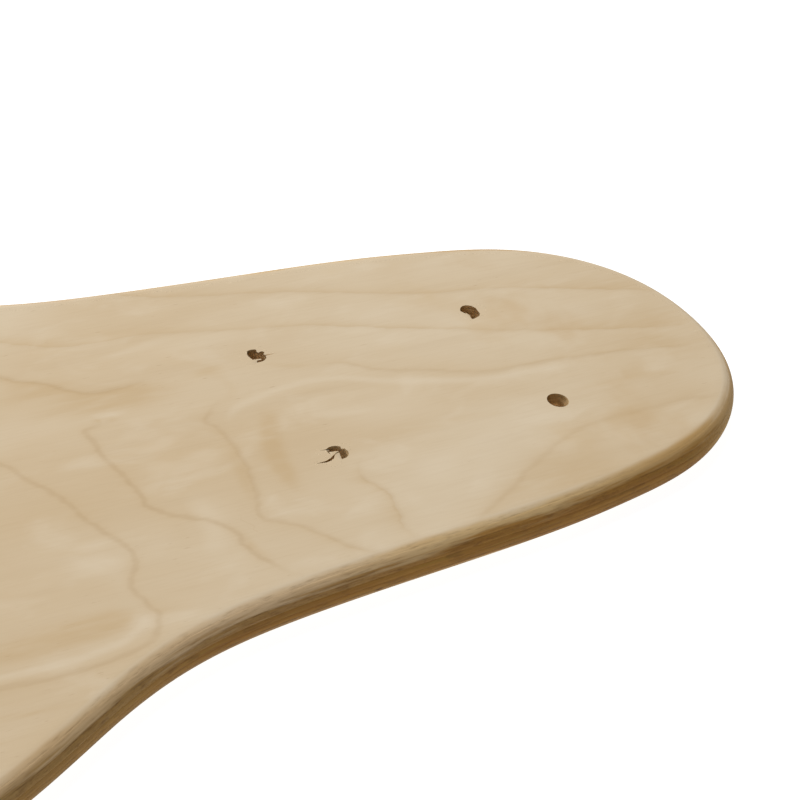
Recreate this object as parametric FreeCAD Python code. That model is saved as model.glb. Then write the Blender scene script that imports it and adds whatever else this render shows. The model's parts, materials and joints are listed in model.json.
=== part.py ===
import FreeCAD, Part
import math
import os
from FreeCAD import Vector

# A long flat skateboard deck with two alike ends: eight veneers glued face to face, cut to one
# outline with four wheel cutaways, rounded over all round its edge and drilled for two trucks.
# Millimetres. The origin is under the deck's centre, on the plane that it lies on. +X runs
# along the deck to its nose, +Y across it and +Z up through the veneers.

# Driving sizes of the outline
wheelbase = 838.2            # between the centres of the two truck hole patterns
end_reach = 92.4             # from a truck pattern's centre to the tip of its end
neck_width = 115.0           # across the deck, close to its width at a truck pattern
body_width = 228.6           # across the deck at mid length
flare_length = 172.5         # from a truck pattern's centre in to the end of the flare

# Driving sizes of the stack of veneers, each with its share of the glue
face_veneer = 0.7            # the thin one on the top and the one on the bottom
long_grain_veneer = 1.6      # the one next to each face veneer, grain along the deck
cross_grain_veneer = 1.6     # the next one in, grain across the deck
core_veneer = 1.6            # the two that meet in the middle, grain along the deck

# Driving sizes of the rounded edge and of the truck holes
rounding_width = 4.7         # how far in from the edge the rounding starts on each face
bolt_hole_diameter = 5.6
bolt_spacing_along = 63.5
bolt_spacing_across = 41.3
drill_overrun = 4.0          # how far a drill runs past the face that it cuts

# The veneers from the bottom up, each with its thickness
veneers = [
    ("bottom_face_veneer", face_veneer),
    ("lower_long_grain_veneer", long_grain_veneer),
    ("lower_cross_grain_veneer", cross_grain_veneer),
    ("lower_core_veneer", core_veneer),
    ("upper_core_veneer", core_veneer),
    ("upper_cross_grain_veneer", cross_grain_veneer),
    ("upper_long_grain_veneer", long_grain_veneer),
    ("top_face_veneer", face_veneer),
]

# The outline's control points over a quarter of the deck. Those of the end and the neck: shares
# of end_reach along, from the truck pattern's centre, and of half the neck's width across.
end_shares = [
    (1.0, 0.0),
    (1.0, 0.363),
    (0.768, 0.803),
    (0.376, 0.919),
    (0.068, 0.991),
]
# Those of the wheel cutaway and the flare after it: shares of flare_length along, from the
# truck pattern's centre, and of the gain in half width from the neck to the body across.
flare_shares = [
    (0.383, 0.043),
    (0.612, 0.181),
    (1.0, 0.995),
]
side_share = 0.587           # of the way from the flare's end to mid length, the side's point

spline_degree = 3
inset_passes = 12            # rounds of correction when an outline is drawn further in
rounding_turn = math.radians(20)   # the most that the edge turns in one stretch of its drawing

deck_thickness = sum(thickness for name, thickness in veneers)
half_thickness = deck_thickness / 2


def quarter_points():
    """Control points of the outline from the nose's tip to mid length, on the +Y side."""
    truck_x = wheelbase / 2
    neck = neck_width / 2
    gain = body_width / 2 - neck
    points = []
    for along, across in end_shares:
        points.append(Vector(truck_x + along * end_reach, across * neck, 0))
    for along, across in flare_shares:
        points.append(Vector(truck_x - along * flare_length, neck + across * gain, 0))
    flare_end_x = truck_x - flare_length
    # The last two lie level with each other, so the side runs straight through mid length.
    points.append(Vector(flare_end_x * (1 - side_share), body_width / 2, 0))
    points.append(Vector(0, body_width / 2, 0))
    return points


def clamped_spline(points):
    """A cubic spline on evenly spaced knots that starts and ends at its end points."""
    spans = len(points) - spline_degree
    repeats = [spline_degree + 1] + [1] * (spans - 1) + [spline_degree + 1]
    curve = Part.BSplineCurve()
    curve.buildFromPolesMultsKnots(points, repeats, range(spans + 1), False, spline_degree)
    return curve


def own_places(points):
    """Where along the spline each control point pulls the most."""
    spans = len(points) - spline_degree
    knots = [0] * spline_degree + list(range(spans + 1)) + [spans] * spline_degree
    return [sum(knots[i + 1:i + 1 + spline_degree]) / spline_degree for i in range(len(points))]


def inset_points(points, inset):
    """Control points of the spline that runs everywhere the same distance inside another."""
    curve = clamped_spline(points)
    places = own_places(points)
    wanted = []
    for place in places:
        along = curve.tangent(place)[0]
        wanted.append(curve.value(place) + Vector(-along.y, along.x, 0) * inset)
    moved = list(wanted)
    for _ in range(inset_passes):
        drawn = clamped_spline(moved)
        moved = [point + goal - drawn.value(place)
                 for point, goal, place in zip(moved, wanted, places)]
    return moved


def outline(height, inset):
    """The deck's closed outline at one height: a quarter, mirrored to the other three."""
    edges = []
    for sign_x, sign_y in ((1, 1), (-1, 1), (-1, -1), (1, -1)):
        points = inset_points(quarter_points(), inset)
        points = [Vector(point.x * sign_x, point.y * sign_y, height) for point in points]
        edges.append(clamped_spline(points).toShape())
    return Part.Wire(Part.__sortEdges__(edges))


def edge_turn(height):
    """How far the edge has turned at a height: 0 in the middle, a right angle at each face."""
    share_of_half = (height - half_thickness) / half_thickness
    return math.asin(max(-1, min(1, share_of_half)))


def veneer_solid(low, high):
    """One veneer between two heights, with its slice of the rounded edge."""
    start = edge_turn(low)
    whole_turn = edge_turn(high) - start
    steps = math.ceil(whole_turn / rounding_turn)
    step = whole_turn / steps
    sections = []
    for number in range(steps + 1):
        turn = start + step * number
        height = half_thickness * (1 + math.sin(turn))
        inset = rounding_width * (1 - math.cos(turn))
        sections.append(outline(height, inset))
    return Part.makeLoft(sections, True)


def truck_drills():
    """Straight drills for the four bolts of each truck."""
    depth = deck_thickness + 2 * drill_overrun
    drills = []
    for truck_x in (-wheelbase / 2, wheelbase / 2):
        for side_x in (-1, 1):
            for side_y in (-1, 1):
                foot = Vector(
                    truck_x + side_x * bolt_spacing_along / 2,
                    side_y * bolt_spacing_across / 2,
                    -drill_overrun,
                )
                drills.append(Part.makeCylinder(bolt_hole_diameter / 2, depth, foot))
    return drills


def export(name, shape):
    """Write one node's single solid, after checking that it is one."""
    if len(shape.Solids) != 1 or not shape.isValid():
        raise ValueError(name + " is not one valid solid")
    solid = shape.Solids[0]
    solid.exportStep(os.path.join("parts", name + ".step"))
    print(name, "volume %.0f mm3" % solid.Volume)


os.makedirs("parts", exist_ok=True)
drills = truck_drills()
height = 0
for veneer_name, thickness in veneers:
    export(veneer_name, veneer_solid(height, height + thickness).cut(drills))
    height += thickness
print("deck %.1f x %.1f x %.1f mm" % (wheelbase + 2 * end_reach, body_width, height))
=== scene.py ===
import json
import math

import bpy
import numpy as np
from mathutils import Euler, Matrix, Vector, kdtree, noise
from mathutils.geometry import delaunay_2d_cdt


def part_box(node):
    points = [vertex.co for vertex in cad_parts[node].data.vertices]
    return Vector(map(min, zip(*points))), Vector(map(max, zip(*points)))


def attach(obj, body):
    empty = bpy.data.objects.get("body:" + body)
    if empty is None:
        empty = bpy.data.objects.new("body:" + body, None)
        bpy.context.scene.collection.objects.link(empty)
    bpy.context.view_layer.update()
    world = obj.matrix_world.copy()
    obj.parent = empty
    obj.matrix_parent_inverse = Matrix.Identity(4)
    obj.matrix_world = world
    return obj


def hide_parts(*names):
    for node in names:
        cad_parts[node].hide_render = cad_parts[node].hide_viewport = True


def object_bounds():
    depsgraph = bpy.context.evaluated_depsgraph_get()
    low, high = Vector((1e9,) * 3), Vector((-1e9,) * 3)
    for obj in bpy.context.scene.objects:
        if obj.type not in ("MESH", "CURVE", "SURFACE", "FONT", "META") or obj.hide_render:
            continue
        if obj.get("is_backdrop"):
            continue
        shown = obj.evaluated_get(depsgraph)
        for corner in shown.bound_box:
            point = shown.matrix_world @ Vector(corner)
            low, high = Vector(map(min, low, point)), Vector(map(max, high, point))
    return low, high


# A long bare skateboard deck of eight raw maple veneers, on a pale floor. Metres, in the frame
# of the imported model: +X runs along the deck to its nose, +Y across it and +Z up.

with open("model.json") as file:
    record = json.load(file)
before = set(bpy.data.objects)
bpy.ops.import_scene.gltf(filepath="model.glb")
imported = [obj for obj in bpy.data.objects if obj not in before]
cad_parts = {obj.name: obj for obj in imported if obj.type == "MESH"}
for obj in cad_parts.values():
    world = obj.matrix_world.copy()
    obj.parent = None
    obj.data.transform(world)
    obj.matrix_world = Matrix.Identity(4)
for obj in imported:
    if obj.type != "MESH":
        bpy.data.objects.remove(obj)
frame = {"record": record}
cad_low, cad_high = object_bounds()
mm = 0.001

# Sizes read from the frame
mounts = {mount["name"]: mount for mount in frame["record"]["mounts"]}
nose_bolts = mounts["nose_truck_bolts"]
truck_x = nose_bolts["pos_m"][0]
bolt_along = nose_bolts["dims"]["spacing_x_mm"] * mm
bolt_across = nose_bolts["dims"]["spacing_y_mm"] * mm
hole_radius = nose_bolts["dims"]["hole_r_mm"] * mm
end_reach = cad_high.x - truck_x
body_width = cad_high.y - cad_low.y
half_thickness = (cad_high.z - cad_low.z) / 2

# The outline's own sizes and shares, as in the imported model
neck_width = 115.0 * mm
flare_length = 172.5 * mm
rounding_width = 4.7 * mm
end_shares = [(1.0, 0.0), (1.0, 0.363), (0.768, 0.803), (0.376, 0.919), (0.068, 0.991)]
flare_shares = [(0.383, 0.043), (0.612, 0.181), (1.0, 0.995)]
side_share = 0.587
spline_degree = 3

# How finely the veneers are drawn
outline_points = 1440        # round the whole deck
quarter_steps = 2 * outline_points    # along a quarter of its spline, before they are spread evenly
sharp_angle = math.radians(40)    # where two faces meet more sharply, the corner shows
rounding_turn = math.radians(7)   # the most that the edge turns from one ring to the next
hole_points = 48             # round a bolt hole
plain_spacing = 6.0 * mm     # between the points inside a flat face
figured_spacing = 1.2 * mm   # the same where the growth rings are drawn one by one
figured_length = 176 * mm    # how far in from the nose's truck pattern they are
least_gap_share = 1 / 3      # of the spacing: the least gap from such a point to an edge or a hole
point_tolerance = 1e-9       # points of a flat face closer than this are taken as one, in metres
line_steps = 8               # between two of the points that a ring's line is given by
line_spacing = 1.0           # between the places along it after that, in millimetres

# Hand work on the edge
rounding_wobble_share = 0.05     # how unevenly the rounding was sanded
wobble_wave = 45.0 * mm          # how long its waves are
seam_groove = 0.03 * mm          # how deep the glue line between two veneers lies
seam_groove_height = 0.09 * mm   # how far from the glue line the groove starts

# The veneers from the bottom up. Each: its node, its slot, how pale the streaks of its edge are,
# and how dark the glue line over it is.
veneers = [
    ("bottom_face_veneer", "face_maple", 0.4, 0.4),
    ("lower_long_grain_veneer", "long_grain_maple", 0.2, 0.6),
    ("lower_cross_grain_veneer", "cross_grain_maple", 0.3, 0.6),
    ("lower_core_veneer", "long_grain_maple", 0.0, 0.2),
    ("upper_core_veneer", "long_grain_maple", 0.05, 0.0),
    ("upper_cross_grain_veneer", "cross_grain_maple", 0.38, 0.4),
    ("upper_long_grain_veneer", "long_grain_maple", 0.5, 0.3),
    ("top_face_veneer", "face_maple", 0.6, 0.0),
]

# Growth rings on the nose's top face, from left to right or from the far side to the near one.
# Each line: how dark it is, how dark the wood beside it is on the left of its run and on the
# right, and its points in millimetres from the centre of the nose's truck pattern. Most points
# of the rings, bands and blotches were placed one by one, and a calculation then moved them all
# to suit a better camera. Later ones were placed one by one with that camera.
ring_lines = [
    (0.85, 0.25, 0.1, [
        (-150.5, 30.1), (-124.4, 16.2), (-107.3, 3.2), (-103.3, -4.7), (-99.8, -10.7), (-97.7, -16.7),
        (-96.8, -21.7), (-93.3, -29.7), (-91.3, -36.7), (-93.1, -40.7), (-96.1, -45.7), (-95.3, -51.8),
        (-94.8, -56.8), (-98.4, -61.8), (-106.5, -64.4), (-118.7, -65.1), (-135, -63.9), (-161.4, -59.9),
    ]),
    (0.95, 0.2, 0.25, [
        (-75.1, 8.4), (-80.1, 7.8), (-83.7, 6.6), (-83.5, 2.2), (-83.5, -4.8), (-82.1, -11.7),
        (-81.4, -18.7), (-81.4, -23.7), (-77.6, -27.5), (-72.1, -31.2), (-68.6, -34.5), (-67, -38.7),
        (-67.3, -43.7), (-64.5, -49.7), (-61, -55.7),
    ]),
    (0.7, 0.2, 0.5, [
        (-48, 8.1), (-52, 4.6), (-55.3, 0.7), (-54, -2.8), (-53.5, -9.8), (-54, -17.7),
        (-56, -25.7), (-58.9, -32.7), (-59, -36.1), (-57.2, -37.3), (-53.9, -39.5), (-49.4, -44.7),
        (-46.5, -49.7), (-42.3, -53.7), (-37.8, -57.7),
    ]),
    (0.6, 0.15, 0.7, [
        (-26.8, -23.7), (-29.8, -27.7), (-30.1, -31.7), (-27.6, -36.7), (-28.5, -42.7), (-29.9, -47.7),
        (-30.3, -51.5), (-29, -54.9),
    ]),
    (0.55, 0.45, 0.0, [
        (-20, 13), (-11.9, 10.5), (-5.9, 5.9), (0.1, 3.3), (7.1, 0.9), (14.1, -1.9), (20.1, -3.9),
        (28, -4.7), (38, -5.3), (51.9, -6.9), (67.9, -9.4), (81.8, -12.3),
    ]),
    (0.5, 0.35, 0.4, [
        (-15.7, -55.7), (-7.7, -50.7), (1.3, -46.4), (8.3, -42), (15.3, -38.4), (22.3, -35.1),
        (29.3, -32.7), (40.2, -31.3), (54.2, -31.5), (66.1, -31.3), (76.1, -33.7),
    ]),
    (0.4, 0.6, 0.0, [
        (-66, 61.5), (-54, 56), (-44, 51.7), (-33, 48.8), (-20.1, 45.8), (-8.1, 42.6), (3.9, 38.4),
        (15.8, 34.2), (27.8, 30.9), (39.7, 28.7), (51.6, 25.7), (65.5, 20.7), (77.5, 16.4), (89.4, 11.8),
    ]),
    (0.35, 0.7, 0.0, [
        (-104.1, 57.7), (-92.1, 47.8), (-84, 43), (-77, 39.8), (-68, 38.2), (-56, 37.8), (-44, 35.4),
        (-32, 32.4), (-20, 30), (-8, 26.6), (4, 21.8), (13.9, 17.9), (23.9, 14.3), (37.9, 9.3),
        (53.8, 4.2), (69.7, 0), (85.7, -4),
    ]),
    (0.8, 0.2, 0.7, [
        (-108.1, 43.9), (-98.1, 35.9), (-91.1, 30), (-86.6, 27.4), (-82.1, 23.8), (-77.6, 20.2),
        (-70, 19.4), (-60, 20.4),
    ]),
]
# Broad soft bands: how dark each is, or how pale where below zero, its half width and its points.
soft_bands = [
    (-0.62, 1.5, [
        (-53, -3.8), (-48, 2.1), (-39.9, 5.1), (-30.9, 6.7), (-22.9, 6.9), (-14.9, 5.1), (-7.9, 1.9),
        (0.1, -1.1), (10.1, -4.3), (20.1, -6.9), (30.1, -7.7), (46, -8.9),
    ]),
    (1.1, 3.0, [
        (-39.9, 3.1), (-40.9, -3.8), (-43.4, -8.8), (-45.4, -14.8), (-46.9, -21.7), (-47.9, -31.7),
    ]),
    (0.4, 2.0, [
        (-29.8, -27.7), (-25.8, -23.2), (-17.8, -19.5), (-5.8, -18.4), (8.2, -19.3), (22.2, -20.1),
    ]),
    (0.35, 1.6, [(-46, 20), (-44, 14), (-44, 9.1), (-48, 6.1), (-53, 2.2)]),
    (-0.4, 1.2, [(-74, 31.4), (-64, 32.1), (-54, 33.8), (-46, 34.8)]),
    (0.35, 1.4, [(34.1, -19.2), (46.1, -18.6), (58, -18.6), (72, -20.4)]),
    (-0.35, 1.4, [(40.1, -21.3), (50.1, -21.7), (62, -21.3)]),
    (0.3, 2.4, [(-11.8, -24.7), (0.2, -25.1), (12.2, -24.1)]),
    (-0.3, 1.6, [(-17.8, -21.3), (-5.8, -22.1), (6.2, -21.7)]),
    (-0.8, 1.5, [
        (-96.5, -52), (-99.5, -57.5), (-106.5, -61), (-118.7, -62), (-135, -60.8), (-155, -57.8),
    ]),
    (0.6, 0.8, [(-175, -69.5), (-155, -70.9), (-138.5, -71.8), (-125, -73.2), (-116, -74)]),
    (0.6, 0.8, [(-175, -76.5), (-155, -77.6), (-141.4, -78.2), (-131, -78)]),
    (0.6, 1.2, [(-36.4, 17.2), (-30.2, 16.1), (-26.4, 14.4), (-19, 12.3), (-14.5, 11.2)]),
    (0.5, 1.6, [(-51, 16.5), (-49.2, 18.2), (-47.1, 19.2), (-44.2, 19.5), (-38.2, 19.5)]),
    (0.9, 1.3, [(-66.2, -36), (-65.9, -39.6), (-66, -42.5), (-65.2, -45.4), (-63.2, -49)]),
    (0.5, 1.8, [(-54.4, -8), (-55.2, -13.4), (-56.2, -19), (-58.3, -26.5), (-60.4, -33)]),
]
# Blotches: how dark each is, or how pale where below zero, its centre, and its half length and
# half width.
blotches = [
    (1.1, (-107, -54.2), (13, 3.4)),
    (0.8, (-125, -55.5), (16, 4)),
    (-0.7, (-97.5, -56), (3.2, 3.6)),
    (-0.4, (-101.4, -36.7), (7, 5)),
    (0.35, (-101.5, -20), (22, 9)),
    (1.0, (-70, 15.4), (15, 4)),
    (0.6, (-86, 24), (12, 4)),
    (0.4, (-46, 18.5), (5, 3)),
    (0.4, (-24.9, 3.5), (8, 1.8)),
    (0.3, (-78, -35.7), (3, 8)),
    (-0.5, (-71, -31), (3.5, 8)),
    (-0.4, (-75, -40), (5, 4)),
    (-0.35, (-54, -31), (3, 6)),
    (-0.35, (-97, -44), (4, 7)),
    (-0.4, (-23.3, -41.7), (3, 4)),
    (-0.55, (-12, -33), (8, 6)),
    (-0.4, (4, -28), (10, 4)),
    (-0.35, (-55, -53), (9, 4)),
    (0.5, (20, -45), (18, 8)),
    (0.35, (8, -51), (45, 7)),
    # The broad blotch over the nose tip is partly painted shade, the light falling off towards the tip, and
    # partly the wood's warmer tone
    (0.6, (82, -2), (24, 42)),
    (-0.6, (-12, -9), (18, 7)),
    (-0.45, (-66, -31), (10, 10)),
    (-0.6, (43, 14), (13, 9)),
    (-0.5, (-44, 31), (22, 5)),
    (0.3, (-90, 16), (8, 5)),
    (-0.9, (-78.1, 10.9), (1.6, 0.7)),
    (-0.9, (-75.1, 10.5), (2.0, 0.6)),
    (0.9, (-79.3, 9.8), (1.0, 0.7)),
    (0.6, (-75.9, 8.9), (1.5, 0.8)),
    (0.6, (-71.5, -5.8), (1.8, 0.5)),
    (0.5, (-66.4, -7.8), (0.9, 0.6)),
    (0.3, (-60, 53.6), (12, 3)),
    (0.35, (23.7, 46.4), (10, 3)),
    (0.35, (71.3, 37.4), (12, 5)),
]
# Small dark knots on the edge: their centres from the nose's truck pattern, with the height, and
# their half sizes, in millimetres.
edge_knots = [
    ((-41.4, -59.0, 3.4), (1.3, 1.0, 0.5)),
    ((-300, -114.2, 6.2), (1.8, 1.0, 0.5)),
    ((-150.5, 102, 4.8), (1.4, 1.2, 0.5)),
    ((-806, 58.5, 5.1), (1.6, 1.0, 0.4)),
]
ring_taper = 9.0             # the stretch over which a ring fades out at its ends, in millimetres
ring_reach = 5.0             # how far from a ring the strength of its line is gone
ring_shade_width = 4.5       # how far the darker wood beside a ring reaches
drawn_end = 170 * mm         # how far in from the truck pattern they start to give way
made_up_start = 230 * mm     # how far in they have given way to made-up ones
ring_count = 17.0            # how many made-up rings lie between their noise's 0 and 1

# Colours of the wood, without the light's share, save for the painted light and shade marked below
pale_maple = (0.565, 0.462, 0.325)
warm_maple = (0.515, 0.395, 0.25)
light_streak_and_highlight = (0.63, 0.54, 0.41)
dark_streak = (0.36, 0.25, 0.14)
fleck_brown = (0.27, 0.16, 0.08)
ring_tan = (0.45, 0.31, 0.155)
ring_brown = (0.31, 0.195, 0.09)
shoulder_tan = (0.555, 0.40, 0.235)
shoulder_gold = (0.555, 0.385, 0.185)
edge_tan = (0.50, 0.35, 0.18)
edge_amber = (0.52, 0.27, 0.075)
edge_gold = (0.29, 0.143, 0.025)
edge_brown = (0.225, 0.1, 0.015)
edge_olive = (0.26, 0.148, 0.025)
edge_grey = (0.34, 0.21, 0.065)
edge_tip_painted_light = (0.60, 0.415, 0.16)
edge_dark = (0.11, 0.05, 0.013)
glue_dark = (0.07, 0.035, 0.015)
hole_dark = (0.29, 0.16, 0.036)
hole_painted_light = (0.90, 0.65, 0.34)

# The look of the wood follows values such as noise or a distance by rules of four numbers: the
# value where the rule starts and the one where it ends, and what it gives up to its start and
# from its end on. A rule of two numbers gives 0 and 1.

# Patterns of noise in the wood. Each: the lengths of its waves along the deck, across it and
# through it in millimetres, its detail, its twist, its shift away from the others, and the rule
# that follows it, or None where the noise is used as it is.
patterns = {
    "patches": ((110, 45, 50), 3.0, 0.4, 0.0, (0.33, 0.7)),
    "mottle": ((21, 10, 10), 3.0, 0.5, 4.0, (0.48, 0.75, 0.0, 0.32)),
    "streaks": ((80, 4.5, 5), 2.0, 0.3, 0.0, (0.45, 0.8, 0.0, 0.07)),
    "fibres": ((9, 0.4, 0.4), 3.0, 0.0, 0.0, (0.4, 0.85, 0.0, 0.105)),
    "flecks": ((3.8, 0.5, 0.5), 1.0, 0.0, 3.0, (0.7, 0.82, 0.0, 0.4)),
    "flecked_patches": ((50, 20, 20), 1.0, 0.0, 6.0, (0.4, 0.65)),
    "ring_rise": ((330, 75, 200), 2.2, 0.35, 1.7, None),
    "ring_waver": ((7, 2.4, 2.4), 3.0, 0.0, 5.0, (0.2, 0.8, -0.45, 0.45)),
    "ring_breaks": ((12, 2.2, 2.2), 3.0, 0.0, 0.0, (0.25, 0.6, 0.6, 1.0)),
    "edge_layers": ((50, 50, 1.6), 3.0, 0.0, 0.0, (0.3, 0.75)),
    "olive_layers": ((20, 20, 0.7), 2.0, 0.0, 9.0, (0.5, 0.75, 0.0, 0.6)),
    "pale_layers": ((30, 30, 1.1), 3.0, 0.0, 7.0, (0.3, 0.7, 0.4, 1.0)),
    "smudges": ((5, 5, 1.1), 2.0, 0.4, 13.0, (0.52, 0.75, 0.0, 0.4)),
    "pores": ((0.9, 0.9, 0.3), 2.0, 0.0, 2.0, (0.45, 0.7, 0.05, 0.28)),
    "glue_dots": ((5, 5, 5), 2.0, 0.0, 4.0, (0.36, 0.6, 0.1, 1.0)),
    "uneven_turns": ((20, 20, 0.8), 3.0, 0.0, 0.0, (0.25, 0.75, -0.13, 0.13)),
    "shoulder_layers": ((20, 20, 0.6), 3.0, 0.2, 8.0, (0.4, 0.8, 0.0, 0.25)),
    "scratches": ((3.5, 3.5, 0.22), 3.0, 0.0, 11.0, (0.45, 0.8)),
    "raised_fibres": ((11, 0.32, 0.32), 3.0, 0.0, 0.0, None),
    "sanding": ((4, 4, 0.3), 2.0, 0.0, 0.0, None),
    "hole_layers": ((3, 3, 0.9), 2.0, 0.0, 0.0, (0.35, 0.7, 0.35, 1.0)),
    "hole_fuzz": ((0.9, 0.9, 0.6), 1.0, 0.0, 0.0, None),
}

# Stretches of the deck where the edge looks different, as rules of how far a place lies past its
# end's truck pattern towards the tip, in millimetres
stretches = {
    "middle": (-10, 50, 1.0, 0.35),      # most of the deck, less so its ends, which stayed darker
    "golden": (-70, -10, 0.0, 1.0),      # the two ends, where the edge is more golden
    "flare": (-80, -115, 0.0, 0.38),     # from the wheel cutaways in, where it is greyer
    "tip": (50, 88, 0.0, 0.6),           # the two tips, where painted light pales the edge
}

# Made-up rings, by the way from one ring to the next
half_ring = 0.5              # half of that way, the furthest that a place lies from a ring
late_wood_rule = (0.5, 1.0, 0.0, 0.2)        # the wood darkens before a ring
made_up_line_rule = (0.0, 0.08, 0.22, 0.0)   # the ring's own line

# Drawn rings: by the distance from a ring in millimetres, and by how dark the figure is
left_side_rule = (-0.25, 0.25)
ring_halo_rule = (0.0, 2.6, 0.13, 0.0)
ring_line_rule = (0.1, 1.25, 0.19, 0.0)
darker_figure_rule = (0.0, 1.1, 0.0, 0.5)
paler_figure_rule = (0.0, -0.9, 0.0, 0.4)

# The rounding, by how far it has turned from the flat face, 0, to the upright wall, 1
shoulder_rule = (0.0, 0.5)
edge_rule = (0.6, 0.84)
scratch_rule = (0.1, 0.4, 0.0, 0.34)
# painted highlight: a pale line along the start of the rounding, where it tilts towards the light
painted_highlight_rule = (0.0, 0.12, 0.0, 0.14)
painted_highlight_end_rule = (0.34, 0.14)
face_bump_rule = (0.1, 0.6, 0.25, 0.0)
edge_bump_rule = (0.2, 0.6, 0.0, 0.6)

# What the stretches of the deck add to that turn, and to the colour of the shoulder
middle_turn_rule = (0.35, 1.0, 0.07, -0.05)
tip_turn = -0.6
flare_turn = 0.12
middle_shoulder_rule = (0.0, 1.0, 0.4, 1.0)
flare_shoulder_share = 0.6

# The edge, by height for its painted shade towards the underside, by how far it faces the grain's
# end, and by the distance from a knot's centre as a share of its half sizes
painted_underside_shade_rule = (half_thickness, 4.0 * mm, 0.0, 0.14)
end_grain_rule = (0.4, 0.9)
knot_rule = (0.5, 1.2, 0.8, 0.0)
glue_core = 0.04 * mm        # half the width of a glue line where it is darkest
glue_reach = 0.22 * mm       # the same where it has faded out
glue_share = 0.9             # how dark the darkest glue line is

# The bolt holes, by the way that their walls face: painted light on walls that face -X, painted shade on
# those that face +X
hole_painted_light_rule = (-0.6, 0.5, 1.0, 0.0)
hole_rim_rule = (0.4, 0.75, 0.0, 0.8)

# The wood's surface
fibre_height = 0.03 * mm     # how far the fibres stand up after sanding
wood_roughness_rule = (0.2, 0.8, 0.62, 0.78)
hole_roughness_rule = (0.2, 0.8, 0.7, 0.9)
wood_specular = 0.12

# The studio, in metres, watts and degrees
white = (1, 1, 1)
floor_white = (0.24, 0.24, 0.24)
floor_glow = 0.94
floor_roughness = 0.9
floor_size = 14.0
light_place = (0.1, 0.9, 1.6)
light_aim = (0.3, 0, 0)
light_size = 1.3
light_power = 42.5
world_strength = 0.235
camera_place = (0.1625, -0.34183, 0.30868)
camera_turns = (54.0656, -8.5115, -30.6547)
camera_lens = 94.52          # in millimetres, over a sensor that is sensor_width wide
sensor_width = 36

# Torn stretches of the nose's bolt holes on the top face, where the drill broke the fibres. Each
# one leaves the round rim at its first angle, in degrees, and comes back to it at its second.
# Between them run points in millimetres from the hole's centre, with how far each hangs down.
full_turn = 360
torn_inner_left = [
    (-8, 8, [(2.3, -0.6, 0), (5.3, -0.5, 0), (2.4, -0.3, 0), (2.1, 0.1, 0.05)]),
    (34, 66, [(1.8, 1.35, 0.05), (1.3, 1.25, 0.15), (1.0, 1.65, 0.1), (1.25, 2.4, 0)]),
    (120, 345, [
        (-1.4, 2.1, 0), (-1.8, 1.5, 0), (-1.9, 0.8, 0.05), (-1.75, -0.1, 0.05), (-1.6, -1.15, 0),
        (-0.5, -1.2, 0.05), (0.8, -1.1, 0.25), (0.7, -1.55, 0.25), (-0.6, -1.75, 0.05), (-3.0, -2.55, 0),
        (-1.0, -2.6, 0), (0.4, -2.55, 0), (1.3, -2.2, 0), (2.1, -1.5, 0), (2.25, -0.9, 0),
    ]),
]
torn_outer_left = [
    (-60, 100, [
        (0.9, -2.8, 0), (1.6, -2.1, 0), (1.9, -1.2, 0.05), (2.0, 0, 0.1), (2.1, 0.8, 0.05), (1.7, 1.4, 0),
        (1.4, 2.0, 0), (0.9, 2.4, 0), (0.1, 2.7, 0),
    ]),
    (170, 301, [
        (-2.4, 0.2, 0), (-2.3, -0.25, 0), (-1.4, -0.7, 0.1), (-1.0, -1.2, 0.3), (-1.4, -2.3, 0.2),
        (-1.7, -3.4, 0), (-0.9, -3.4, 0), (-0.1, -3.1, 0),
    ]),
]
torn_inner_right = [
    (-20, 338, [
        (2.7, -0.9, 0), (2.85, -0.2, 0), (2.75, 0.5, 0), (2.6, 1.2, 0.05), (1.95, 1.4, 0.25), (2.0, 2.1, 0),
        (1.1, 2.7, 0), (0.1, 2.85, 0), (-0.8, 2.75, 0), (-1.7, 2.3, 0), (-3.5, 2.2, 0), (-1.9, 2.05, 0),
        (-1.95, 1.1, 0), (-1.75, 0.5, 0), (-1.6, 0.0, 0), (-0.75, 0.75, 0.05), (0.35, 1.0, 0.15),
        (1.05, 0.9, 0.3), (-0.05, 0.4, 0.15), (-0.8, -0.08, 0.1), (-1.45, -0.45, 0.05), (-2.25, -1.0, 0),
        (-3.85, -1.6, 0), (-6.55, -1.75, 0), (-4.0, -2.15, 0), (-2.5, -1.85, 0.05), (-1.5, -1.2, 0.1),
        (-0.7, -0.2, 0.15), (0.0, 0.3, 0.25), (0.85, 0.5, 0.3), (0.0, -0.2, 0.25), (-0.6, -1.1, 0.1),
        (-0.85, -2.15, 0), (0.2, -2.3, 0), (1.35, -2.1, 0), (2.15, -1.6, 0),
    ]),
]
torn_outer_right = []


# The outline

def quarter_points():
    """Control points of the outline from the nose's tip to mid length, on the +Y side."""
    neck = neck_width / 2
    gain = body_width / 2 - neck
    points = [(truck_x + along * end_reach, across * neck) for along, across in end_shares]
    points += [(truck_x - along * flare_length, neck + across * gain)
               for along, across in flare_shares]
    points += [((truck_x - flare_length) * (1 - side_share), body_width / 2), (0, body_width / 2)]
    return np.array(points)


def clamped_spline(points, steps):
    """Places along a cubic spline on evenly spaced knots that starts and ends at its end points."""
    spans = len(points) - spline_degree
    knots = [0] * spline_degree + list(range(spans + 1)) + [spans] * spline_degree
    places = np.linspace(0, spans, steps, endpoint=False)
    weights = [(low <= places) & (places < high) for low, high in zip(knots, knots[1:])]
    weights = [np.array(weight, float) for weight in weights]
    for degree in range(1, spline_degree + 1):
        for i in range(len(weights) - 1):
            rise = knots[i + degree] - knots[i]
            fall = knots[i + degree + 1] - knots[i + 1]
            rising = (places - knots[i]) / rise * weights[i] if rise else 0
            falling = (knots[i + degree + 1] - places) / fall * weights[i + 1] if fall else 0
            weights[i] = rising + falling
        weights.pop()
    return np.array(weights).T @ points


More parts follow.
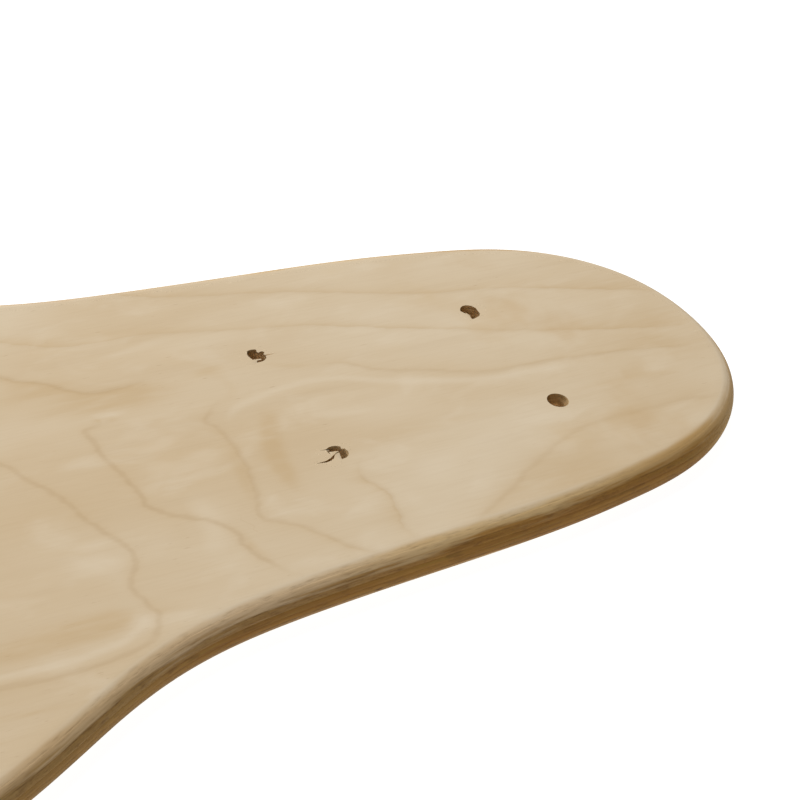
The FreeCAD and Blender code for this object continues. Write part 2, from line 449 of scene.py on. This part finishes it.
def evenly(points, count, closed):
    """The same line with its points at even distances."""
    if closed:
        points = np.vstack([points, points[:1]])
    steps = np.linalg.norm(np.diff(points, axis=0), axis=1)
    along = np.concatenate([[0], np.cumsum(steps)])
    wanted = np.linspace(0, along[-1], count, endpoint=not closed)
    return np.stack([np.interp(wanted, along, points[:, k]) for k in range(2)], 1)


def whole_outline():
    """The deck's closed outline, anticlockwise, with its inward directions."""
    quarter = clamped_spline(quarter_points(), quarter_steps)
    quarter = np.vstack([quarter, [[0, body_width / 2]]])
    far_half = np.vstack([quarter, quarter[-2:0:-1] * (-1, 1)])
    loop = np.vstack([far_half, [[-cad_high.x, 0]], far_half[:0:-1] * (1, -1)])
    loop = evenly(loop, outline_points, True)
    run = np.roll(loop, -1, axis=0) - np.roll(loop, 1, axis=0)
    run /= np.linalg.norm(run, axis=1)[:, None]
    return loop, np.stack([-run[:, 1], run[:, 0]], 1)


def smooth_line(points, spacing):
    """A smooth line through a few points, with places at an even spacing along it."""
    points = np.array(points, float)
    ends = np.vstack([2 * points[0] - points[1], points, 2 * points[-1] - points[-2]])
    share = np.arange(line_steps)[:, None] / line_steps
    pieces = []
    for a, b, c, d in zip(ends, ends[1:], ends[2:], ends[3:]):
        pieces.append(b + (c - a) / 2 * share + (a - 2.5 * b + 2 * c - d / 2) * share ** 2
                      + (1.5 * (b - c) + (d - a) / 2) * share ** 3)
    line = np.vstack(pieces + [points[-1:]])
    length = np.linalg.norm(np.diff(line, axis=0), axis=1).sum()
    return evenly(line, max(2, round(length / spacing)), False)


# The meshes

no_places = np.zeros((0, 2))
wood_face = 0                # a piece's first material
drilled_face = 1             # its second
only_inside = 1              # the triangulation keeps what its outer edges enclose


class Shell:
    """The points and faces of one mesh, gathered ring by ring."""

    def __init__(self):
        self.points = np.zeros((0, 3))
        self.turned = np.zeros(0)
        self.faces = []
        self.slots = []

    def ring(self, places, heights, turned):
        """Adds points and gives their numbers. turned is 0 on a flat face and 1 on a wall."""
        block = np.column_stack([places, np.broadcast_to(heights, len(places))])
        numbers = np.arange(len(self.points), len(self.points) + len(block))
        self.points = np.vstack([self.points, block])
        self.turned = np.append(self.turned, np.full(len(block), float(turned)))
        return numbers

    def band(self, low, high, slot):
        """Joins two closed rings of as many points with four-sided faces."""
        faces = np.stack([low, np.roll(low, -1), np.roll(high, -1), high], 1)
        self.faces += faces.tolist()
        self.slots += [slot] * len(faces)

    def flat(self, rings, places, height, up):
        """Fills the flat face between an outer ring and the rings of its holes."""
        edges = []
        for ring in rings:
            first = len(edges)
            edges += [(first + k, first + (k + 1) % len(ring)) for k in range(len(ring))]
        numbers = np.concatenate(rings + [self.ring(places, height, 0)])
        plane = [Vector(point) for point in self.points[numbers, :2]]
        drawn = delaunay_2d_cdt(plane, edges, [], only_inside, point_tolerance)
        owner = np.array([numbers[sources[0]] for sources in drawn[3]])
        faces = owner[np.array(drawn[2])]
        middles = self.points[faces, :2].mean(1)
        for hole in rings[1:]:
            faces_in = within(middles, self.points[hole, :2])
            faces = faces[~faces_in]
            middles = middles[~faces_in]
        self.faces += (faces if up else faces[:, ::-1]).tolist()
        self.slots += [wood_face] * len(faces)

    def placed(self, name, materials):
        """The finished mesh as an object of the scene."""
        mesh = bpy.data.meshes.new(name)
        mesh.from_pydata(self.points.tolist(), [], self.faces)
        for material in materials:
            mesh.materials.append(material)
        mesh.polygons.foreach_set("material_index", self.slots)
        add_values(mesh, "turned", self.turned)
        mesh.shade_smooth()
        mesh.set_sharp_from_angle(angle=sharp_angle)
        mesh.update()
        piece = bpy.data.objects.new(name, mesh)
        bpy.context.scene.collection.objects.link(piece)
        return piece


def add_values(mesh, name, values):
    """Stores one number for each point of a mesh, for its material to read."""
    layer = mesh.attributes.new(name, "FLOAT", "POINT")
    layer.data.foreach_set("value", np.asarray(values, np.float32))


def within(places, wall):
    """Which places lie within a closed wall."""
    found = np.zeros(len(places), bool)
    near = ((places > wall.min(0)) & (places < wall.max(0))).all(1)
    x, y = places[near].T[:, :, None]
    after = np.roll(wall, -1, axis=0)
    crosses = (wall[:, 1] > y) != (after[:, 1] > y)
    rise = after[:, 1] - wall[:, 1]
    rise[rise == 0] = 1
    meets = wall[:, 0] + (y - wall[:, 1]) / rise * (after[:, 0] - wall[:, 0])
    found[near] = (crosses & (x < meets)).sum(1) % 2 == 1
    return found


def edge_turn(height):
    """How far the edge has turned at a height: 0 in the middle, a right angle at each face."""
    return math.asin(max(-1, min(1, (height - half_thickness) / half_thickness)))


def rounding_at(turn):
    """The height of the rounded edge at a turn, and how far it lies in from the outline."""
    return half_thickness * (1 + math.sin(turn)), rounding_width * (1 - math.cos(turn))


def edge_rings(shell, low, high):
    """The rings of one veneer's slice of the rounded edge, from its lower face to its upper."""
    whole_turn = edge_turn(high) - edge_turn(low)
    steps = math.ceil(whole_turn / rounding_turn)
    first, *inner, last = np.linspace(edge_turn(low), edge_turn(high), steps + 1)
    stations = [(turn, 0) for turn in inner]
    if low > cad_low.z:
        groove_top = edge_turn(low + seam_groove_height)
        stations = [(first, seam_groove), (groove_top, 0)] + stations
    else:
        stations = [(first, 0)] + stations
    if high < cad_high.z:
        groove_foot = edge_turn(high - seam_groove_height)
        stations += [(groove_foot, 0), (last, seam_groove)]
    else:
        stations += [(last, 0)]
    rings = []
    for turn, groove in stations:
        height, inset = rounding_at(turn)
        places = outline + inward * (inset * wobble + groove)[:, None]
        rings.append(shell.ring(places, height, math.cos(turn)))
    return rings


def round_rim(centre):
    """The points round a bolt hole."""
    angles = np.arange(hole_points) * math.tau / hole_points
    return centre + hole_radius * np.stack([np.cos(angles), np.sin(angles)], 1)


def torn_rim(centre, tears):
    """A hole's rim with its torn stretches, how far each point hangs, and its round place."""
    rim = [(math.degrees(k * math.tau / hole_points), None, 0) for k in range(hole_points)]
    for first, last, points in tears:
        rim = [entry for entry in rim if entry[1] is not None
               or not first < (entry[0] - first) % full_turn + first < last]
        for number, (x, y, hang) in enumerate(points):
            share = (number + 0.5) / len(points)
            angle = (first + (last - first) * share) % full_turn
            rim.append((angle, (x * mm, y * mm), hang * mm))
    rim.sort(key=lambda entry: entry[0])
    angles = np.radians([entry[0] for entry in rim])
    round_places = centre + hole_radius * np.stack([np.cos(angles), np.sin(angles)], 1)
    torn_places = round_places.copy()
    for number, (angle, place, hang) in enumerate(rim):
        if place is not None:
            torn_places[number] = centre + np.array(place)
    return torn_places, np.array([entry[2] for entry in rim]), round_places


def half_turned(tears):
    """The same tears with the hole turned half round."""
    half_turn = full_turn / 2
    return [(first + half_turn, last + half_turn, [(-x, -y, hang) for x, y, hang in points])
            for first, last, points in tears]


def search_tree(places):
    """What finds the nearest of many places in the plane."""
    tree = kdtree.KDTree(len(places))
    for number, (x, y) in enumerate(places):
        tree.insert((x, y, 0), number)
    tree.balance()
    return tree


def face_places(ring, rims, figured):
    """Points spread over a flat face, closer together where its growth rings are drawn."""
    edge = search_tree(ring)
    holes = search_tree(np.vstack(rims))
    figure_start = truck_x - figured_length
    kept = [no_places]
    for spacing in (plain_spacing, figured_spacing):
        columns = np.arange(cad_low.x, cad_high.x, spacing)
        rows = np.arange(cad_low.y, cad_high.y, spacing * math.sqrt(3) / 2)
        x, y = np.meshgrid(columns, rows)
        x[1::2] += spacing / 2
        places = np.stack([x.ravel(), y.ravel()], 1)
        drawn = (places[:, 0] > figure_start) & figured
        for place in places[drawn == (spacing == figured_spacing)]:
            where = (place[0], place[1], 0)
            number = edge.find(where)[1]
            depth = (place - ring[number]) @ inward[number]
            least_gap = spacing * least_gap_share
            if depth > least_gap and holes.find(where)[2] > least_gap:
                kept.append(place[None])
    places = np.vstack(kept)
    for centre in hole_centres:
        places = places[np.linalg.norm(places - centre, axis=1) > hole_radius]
    for rim in rims:
        places = places[~within(places, rim)]
    return places


def veneer_piece(name, low, high, tears, materials):
    """One veneer: its slice of the rounded edge, its two flat faces and its drilled holes."""
    shell = Shell()
    rings = edge_rings(shell, low, high)
    for lower, upper in zip(rings, rings[1:]):
        shell.band(lower, upper, wood_face)
    low_holes = []
    high_holes = []
    for centre, torn in zip(hole_centres, tears):
        torn_places, hang, round_places = torn_rim(centre, torn)
        low_hole = shell.ring(round_places, low, 1)
        high_hole = shell.ring(torn_places, high - hang, 0)
        shell.band(high_hole, low_hole, drilled_face)
        low_holes.append(low_hole)
        high_holes.append(high_hole)
    for ring, holes, height, up in ((rings[0], low_holes, low, False),
                                    (rings[-1], high_holes, high, True)):
        outer = height == (cad_high.z if up else cad_low.z)
        rims = [shell.points[hole, :2] for hole in holes]
        places = face_places(shell.points[ring, :2], rims, up) if outer else no_places
        shell.flat([ring] + holes, places, height, up)
    piece = shell.placed(name.replace("_veneer", "_wood"), materials)
    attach(piece, "root")
    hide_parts(name)
    return piece, shell


# The growth rings drawn one by one

def beside(line, spots):
    """For each spot: its signed gap to a line, how far it is from it, and the line's taper."""
    run = np.gradient(line, axis=0)
    run /= np.linalg.norm(run, axis=1)[:, None]
    tree = search_tree(line)
    nearest = np.array([tree.find((x, y, 0))[1] for x, y in spots])
    offset = spots - line[nearest]
    gap = run[nearest, 0] * offset[:, 1] - run[nearest, 1] * offset[:, 0]
    from_end = np.minimum(nearest, len(line) - 1 - nearest) * line_spacing
    return gap, np.linalg.norm(offset, axis=1), np.clip(from_end / ring_taper, 0, 1)


def add_figure(piece, points):
    """Stores what the drawn rings need at each point of the top face, in millimetres.

    That is the signed gap to the nearest ring, how strong its line is, how dark the wood beside
    it is on either side, and the softer figure of bands, blotches and the rings further off.
    """
    spots = (points[:, :2] - (truck_x, 0)) / mm
    found = [beside(smooth_line(marks, line_spacing), spots) for *looks, marks in ring_lines]
    gaps, apart, tapers = np.array(found).transpose(1, 0, 2)
    darkness, left, right = np.array([looks for *looks, marks in ring_lines]).T[:, :, None]
    reach = tapers * np.exp(-apart / ring_shade_width)
    shades = np.where(gaps > 0, left, right) * reach
    nearest = np.arange(len(spots)) + apart.argmin(0) * len(spots)
    figure = shades.sum(0) - shades.flat[nearest]
    for dark, half_width, marks in soft_bands:
        gap, away, taper = beside(smooth_line(marks, line_spacing), spots)
        figure += dark * taper * np.exp(-(away / half_width) ** 2)
    for dark, centre, half_sizes in blotches:
        figure += dark * np.exp(-(((spots - centre) / half_sizes) ** 2).sum(1))
    strength = darkness * tapers * np.clip(2 - 2 * apart / ring_reach, 0, 1)
    add_values(piece.data, "ring_gap", gaps.flat[nearest])
    add_values(piece.data, "ring_strength", strength.flat[nearest])
    add_values(piece.data, "left_shade", (left * reach).flat[nearest])
    add_values(piece.data, "right_shade", (right * reach).flat[nearest])
    add_values(piece.data, "figure", figure)


# The materials

class Recipe:
    """The nodes of one material, joined up by short calls."""

    def __init__(self, name):
        self.material = bpy.data.materials.new(name)
        self.material.use_nodes = True
        self.shader = self.material.node_tree.nodes["Principled BSDF"]
        self.place = self.add("ShaderNodeTexCoord").outputs["Object"]

    def add(self, kind, *values, **settings):
        """A new node with its settings and with values fed to its first inputs."""
        node = self.material.node_tree.nodes.new(kind)
        for name, setting in settings.items():
            setattr(node, name, setting)
        for socket, value in zip(node.inputs, values):
            self.feed(socket, value)
        return node

    def feed(self, socket, value):
        """Links an input to another node's output, or sets it to a number or colour."""
        if isinstance(value, bpy.types.NodeSocket):
            self.material.node_tree.links.new(value, socket)
        else:
            socket.default_value = value

    def maths(self, operation, *values):
        """One step of arithmetic."""
        return self.add("ShaderNodeMath", *values, operation=operation).outputs[0]

    def axis(self, vector, name):
        """What a place or a direction has along the X, the Y or the Z axis."""
        return self.add("ShaderNodeSeparateXYZ", vector).outputs[name]

    def facing(self, name):
        """How far the surface faces along an axis."""
        return self.axis(self.add("ShaderNodeTexCoord").outputs["Normal"], name)

    def span(self, value, low, high, to_low=0.0, to_high=1.0):
        """Follows a value by a rule, from low to high, eased and held at both ends."""
        node = self.add("ShaderNodeMapRange", value, low, high, to_low, to_high,
                        interpolation_type="SMOOTHSTEP")
        return node.outputs[0]

    def pattern(self, name):
        """One of the patterns of noise, with its own wavelength along each axis."""
        waves, detail, twist, shift, rule = patterns[name]
        scale = [1 / (wave * mm) for wave in waves]
        moved = self.add("ShaderNodeMapping", self.place, (shift,) * 3, (0, 0, 0), scale)
        node = self.add("ShaderNodeTexNoise", noise_dimensions="3D")
        self.feed(node.inputs["Vector"], moved.outputs[0])
        self.feed(node.inputs["Scale"], 1.0)
        self.feed(node.inputs["Detail"], detail)
        self.feed(node.inputs["Distortion"], twist)
        return self.span(node.outputs[0], *rule) if rule else node.outputs[0]

    def stretch(self, name):
        """How far a place has the look of one of the deck's stretches."""
        start, end, at_start, at_end = stretches[name]
        from_middle = self.maths("ABSOLUTE", self.axis(self.place, "X"))
        past_truck = self.maths("SUBTRACT", from_middle, truck_x)
        return self.span(past_truck, start * mm, end * mm, at_start, at_end)

    def stored(self, name):
        """A number that was stored at the mesh's points."""
        return self.add("ShaderNodeAttribute", attribute_name=name).outputs["Fac"]

    def tint(self, under, over, share):
        """One colour laid over another."""
        node = self.add("ShaderNodeMix", data_type="RGBA")
        self.feed(node.inputs[0], share)
        sockets = [socket for socket in node.inputs if socket.type == "RGBA"]
        for socket, colour in zip(sockets, (under, over)):
            self.feed(socket, colour if isinstance(colour, bpy.types.NodeSocket) else (*colour, 1))
        return next(socket for socket in node.outputs if socket.type == "RGBA")

    def bumps(self, height, distance):
        """Raises the surface by a height between 0 and 1, over a distance."""
        node = self.add("ShaderNodeBump")
        self.feed(node.inputs["Strength"], 1.0)
        self.feed(node.inputs["Distance"], distance)
        self.feed(node.inputs["Height"], height)
        self.feed(self.shader.inputs["Normal"], node.outputs[0])


def face_colour(wood, drawn_share):
    """Pale raw maple with its grain along the deck. drawn_share is where the drawn rings rule."""
    colour = wood.tint(pale_maple, warm_maple, wood.pattern("patches"))
    colour = wood.tint(colour, light_streak_and_highlight, wood.pattern("mottle"))
    colour = wood.tint(colour, dark_streak, wood.pattern("streaks"))
    colour = wood.tint(colour, dark_streak, wood.pattern("fibres"))
    flecks = wood.maths("MULTIPLY", wood.pattern("flecks"), wood.pattern("flecked_patches"))
    colour = wood.tint(colour, fleck_brown, flecks)

    rise = wood.maths("MULTIPLY", wood.pattern("ring_rise"), ring_count)
    free_share = wood.maths("SUBTRACT", 1.0, drawn_share)
    late_wood = wood.span(wood.maths("FRACT", rise), *late_wood_rule)
    colour = wood.tint(colour, ring_tan, wood.maths("MULTIPLY", late_wood, free_share))
    line = wood.span(wood.maths("PINGPONG", rise, half_ring), *made_up_line_rule)
    return wood.tint(colour, ring_brown, wood.maths("MULTIPLY", line, free_share))


def drawn_figure(wood, colour):
    """The rings of the nose's top face, from the values stored at its points."""
    gap = wood.maths("ADD", wood.stored("ring_gap"), wood.pattern("ring_waver"))
    left_side = wood.span(gap, *left_side_rule)
    right_side = wood.maths("SUBTRACT", 1.0, left_side)
    figure = wood.maths("MULTIPLY_ADD", wood.stored("left_shade"), left_side, wood.stored("figure"))
    figure = wood.maths("MULTIPLY_ADD", wood.stored("right_shade"), right_side, figure)
    broken = wood.pattern("ring_breaks")
    dark = wood.maths("MULTIPLY", wood.span(figure, *darker_figure_rule), broken)
    colour = wood.tint(colour, ring_tan, dark)
    colour = wood.tint(colour, light_streak_and_highlight, wood.span(figure, *paler_figure_rule))
    strength = wood.stored("ring_strength")
    away = wood.maths("ABSOLUTE", gap)
    halo = wood.maths("MULTIPLY", wood.span(away, *ring_halo_rule), strength)
    colour = wood.tint(colour, ring_tan, halo)
    line = wood.maths("MULTIPLY", wood.span(away, *ring_line_rule), strength)
    return wood.tint(colour, ring_brown, wood.maths("MULTIPLY", line, broken))


def shoulder_colour(wood):
    """The start of the rounding, between the flat face and the edge."""
    colour = wood.tint(shoulder_tan, shoulder_gold, wood.stretch("golden"))
    greyed = wood.maths("MULTIPLY", wood.stretch("flare"), flare_shoulder_share)
    colour = wood.tint(colour, edge_grey, greyed)
    colour = wood.tint(colour, edge_gold, wood.pattern("shoulder_layers"))
    return wood.tint(edge_gold, colour, wood.span(wood.stretch("middle"), *middle_shoulder_rule))


def add_pores(wood, colour, grain_along):
    """Dark pores where the edge cuts across the grain."""
    end_grain = wood.maths("ABSOLUTE", wood.facing("X" if grain_along else "Y"))
    end_grain = wood.span(end_grain, *end_grain_rule)
    return wood.tint(colour, edge_dark, wood.maths("MULTIPLY", end_grain, wood.pattern("pores")))


def add_knot(wood, colour, centre, half_sizes):
    """One small dark knot on the edge."""
    spot = (truck_x + centre[0] * mm, centre[1] * mm, centre[2] * mm)
    offset = wood.add("ShaderNodeVectorMath", wood.place, spot, operation="SUBTRACT").outputs[0]
    shares = wood.add("ShaderNodeVectorMath", offset, [size * mm for size in half_sizes],
                      operation="DIVIDE").outputs[0]
    away = wood.add("ShaderNodeVectorMath", shares, operation="LENGTH").outputs["Value"]
    return wood.tint(colour, edge_dark, wood.span(away, *knot_rule))


def add_glue_line(wood, colour, seam, strength):
    """The dark dotted glue line at one height, which fades out towards the tips."""
    apart = wood.maths("ABSOLUTE", wood.maths("SUBTRACT", wood.axis(wood.place, "Z"), seam))
    line = wood.span(apart, glue_core, glue_reach, strength * glue_share, 0.0)
    line = wood.maths("MULTIPLY", line, wood.pattern("glue_dots"))
    before_tip = wood.maths("SUBTRACT", 1.0, wood.stretch("tip"))
    return wood.tint(colour, glue_dark, wood.maths("MULTIPLY", line, before_tip))


def edge_colour(wood, number):
    """The cut edge of one veneer: golden brown, streaked, and dark at its glue lines, with painted light at
    the tips and painted shade towards its underside.
    """
    node, slot, pale_share, glue_above = veneers[number]
    glue_below = veneers[number - 1][-1] if number else 0
    low, high = veneer_heights[number]
    colour = wood.tint(edge_gold, edge_brown, wood.pattern("edge_layers"))
    colour = wood.tint(colour, edge_olive, wood.pattern("olive_layers"))
    pale = wood.maths("MULTIPLY", wood.pattern("pale_layers"), pale_share)
    pale = wood.maths("MULTIPLY", pale, wood.stretch("middle"))
    colour = wood.tint(colour, wood.tint(edge_tan, edge_amber, wood.stretch("golden")), pale)
    # Painted light: the edge paler towards the two tips
    colour = wood.tint(colour, edge_tip_painted_light, wood.stretch("tip"))
    colour = wood.tint(colour, edge_grey, wood.stretch("flare"))
    before_tip = wood.maths("SUBTRACT", 1.0, wood.stretch("tip"))
    smudged = wood.maths("MULTIPLY", wood.pattern("smudges"), before_tip)
    colour = wood.tint(colour, edge_dark, smudged)
    # Painted shade: the edge darker towards its underside, below its middle height
    colour = wood.tint(colour, edge_dark, wood.span(wood.axis(wood.place, "Z"), *painted_underside_shade_rule))
    colour = add_pores(wood, colour, "cross" not in node)
    for centre, half_sizes in edge_knots:
        if low < centre[2] * mm < high:
            colour = add_knot(wood, colour, centre, half_sizes)
    for seam, strength in ((low, glue_below), (high, glue_above)):
        if strength:
            colour = add_glue_line(wood, colour, seam, strength)
    return colour


def looked_turn(wood, turned):
    """How far the rounding looks turned: unevenly, and sooner or later in the deck's stretches."""
    looked = wood.maths("ADD", turned, wood.pattern("uneven_turns"))
    looked = wood.maths("ADD", looked, wood.span(wood.stretch("middle"), *middle_turn_rule))
    looked = wood.maths("MULTIPLY_ADD", wood.stretch("tip"), tip_turn, looked)
    return wood.maths("MULTIPLY_ADD", wood.stretch("flare"), flare_turn, looked)


def veneer_material(name, number):
    """The wood of one veneer, its face and its edge in one."""
    wood = Recipe(name)
    if number == len(veneers) - 1:
        along = wood.axis(wood.place, "X")
        drawn_share = wood.span(along, truck_x - made_up_start, truck_x - drawn_end)
        colour = drawn_figure(wood, face_colour(wood, drawn_share))
    else:
        colour = face_colour(wood, 0.0)
    turned = wood.stored("turned")
    looked = looked_turn(wood, turned)
    colour = wood.tint(colour, shoulder_colour(wood), wood.span(looked, *shoulder_rule))
    colour = wood.tint(colour, edge_colour(wood, number), wood.span(looked, *edge_rule))
    scratched = wood.maths("MULTIPLY", wood.pattern("scratches"), wood.span(turned, *scratch_rule))
    scratched = wood.maths("MULTIPLY", scratched, wood.stretch("middle"))
    colour = wood.tint(colour, edge_dark, scratched)
    # A painted highlight: a pale line painted along the start of the rounding
    highlight_end = wood.span(turned, *painted_highlight_end_rule)
    rim = wood.maths("MULTIPLY", wood.span(turned, *painted_highlight_rule), highlight_end)
    colour = wood.tint(colour, light_streak_and_highlight, rim)
    wood.feed(wood.shader.inputs["Base Color"], colour)
    fibres = wood.pattern("raised_fibres")
    height = wood.maths("MULTIPLY", wood.span(turned, *face_bump_rule), fibres)
    edge_share = wood.span(turned, *edge_bump_rule)
    height = wood.maths("MULTIPLY_ADD", edge_share, wood.pattern("sanding"), height)
    wood.bumps(height, fibre_height)
    wood.feed(wood.shader.inputs["Roughness"], wood.span(fibres, *wood_roughness_rule))
    wood.feed(wood.shader.inputs["Specular IOR Level"], wood_specular)
    return wood.material


def drilled_material():
    """The dark broken wood inside a drilled hole, with painted light on the walls that face -X and painted
    shade on those that face +X.
    """
    wood = Recipe("drilled_maple")
    # Painted light on the walls that face -X, painted shade on those that face +X
    lit_side = wood.span(wood.facing("X"), *hole_painted_light_rule)
    paler = wood.maths("MULTIPLY", wood.pattern("hole_layers"), lit_side)
    colour = wood.tint(hole_dark, hole_painted_light, paler)
    colour = wood.tint(colour, pale_maple, wood.span(wood.facing("Z"), *hole_rim_rule))
    wood.feed(wood.shader.inputs["Base Color"], colour)
    fuzz = wood.pattern("hole_fuzz")
    wood.bumps(fuzz, fibre_height)
    wood.feed(wood.shader.inputs["Roughness"], wood.span(fuzz, *hole_roughness_rule))
    return wood.material


def floor_material():
    """The floor's plain white, with some light of its own."""
    floor = Recipe("pale_floor")
    floor.feed(floor.shader.inputs["Base Color"], (*floor_white, 1))
    floor.feed(floor.shader.inputs["Emission Color"], (*white, 1))
    floor.feed(floor.shader.inputs["Emission Strength"], floor_glow)
    floor.feed(floor.shader.inputs["Roughness"], floor_roughness)
    return floor.material


# The deck

outline, inward = whole_outline()
wobble = np.array([
    1 + rounding_wobble_share * noise.noise(Vector((x / wobble_wave, y / wobble_wave, 0)))
    for x, y in outline
])
hole_centres = [
    np.array((side * truck_x + along * bolt_along / 2, across * bolt_across / 2))
    for side in (1, -1) for across in (1, -1) for along in (-1, 1)
]
nose_tears = [torn_inner_left, torn_outer_left, torn_inner_right, torn_outer_right]
tail_tears = [[], half_turned(torn_outer_left), [], half_turned(torn_inner_left)]
veneer_heights = []
for node, *looks in veneers:
    box_low, box_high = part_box(node)
    veneer_heights.append((box_low.z, box_high.z))
for number, (node, slot, *looks) in enumerate(veneers):
    low, high = veneer_heights[number]
    top = number == len(veneers) - 1
    tears = nose_tears + tail_tears if top else [[]] * len(hole_centres)
    skin = veneer_material(node.replace("_veneer", "_maple"), number)
    piece, shell = veneer_piece(node, low, high, tears, [skin, drilled_material()])
    if top:
        add_figure(piece, shell.points)


# The floor, the light and the camera

def studio_floor():
    """A wide floor, left open just where the wood rests on it, so that no faces coincide."""
    shell = Shell()
    half = floor_size / 2
    corners = [(-half, -half), (half, -half), (half, half), (-half, half)]
    outer = shell.ring(corners, cad_low.z, 0)
    rest = shell.ring(outline + inward * (rounding_width * wobble)[:, None], cad_low.z, 0)
    shell.flat([outer, rest], no_places, cad_low.z, True)
    for centre in hole_centres:
        shell.flat([shell.ring(round_rim(centre), cad_low.z, 0)], no_places, cad_low.z, True)
    shell.placed("floor", [floor_material()])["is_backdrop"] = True


def soft_light():
    """One wide lamp, high up on the deck's far side."""
    lamp = bpy.data.lights.new("key_light", "AREA")
    lamp.shape = "SQUARE"
    lamp.size = light_size
    lamp.energy = light_power
    light = bpy.data.objects.new("key_light", lamp)
    light.location = light_place
    shine = Vector(light_aim) - Vector(light_place)
    light.rotation_euler = shine.to_track_quat("-Z", "Y").to_euler()
    bpy.context.scene.collection.objects.link(light)


def even_world():
    """The same white light from all round."""
    world = bpy.data.worlds.new("studio")
    world.use_nodes = True
    background = world.node_tree.nodes["Background"]
    background.inputs["Color"].default_value = (*white, 1)
    background.inputs["Strength"].default_value = world_strength
    bpy.context.scene.world = world


def photo_camera():
    """The camera at the photograph's viewing angle."""
    camera_data = bpy.data.cameras.new("camera")
    camera_data.lens = camera_lens
    camera_data.sensor_width = sensor_width
    camera = bpy.data.objects.new("camera", camera_data)
    camera.location = camera_place
    camera.rotation_euler = Euler([math.radians(turn) for turn in camera_turns])
    bpy.context.scene.collection.objects.link(camera)
    bpy.context.scene.camera = camera


studio_floor()
soft_light()
even_world()
photo_camera()
bpy.context.scene.view_settings.view_transform = "Standard"

low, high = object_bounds()
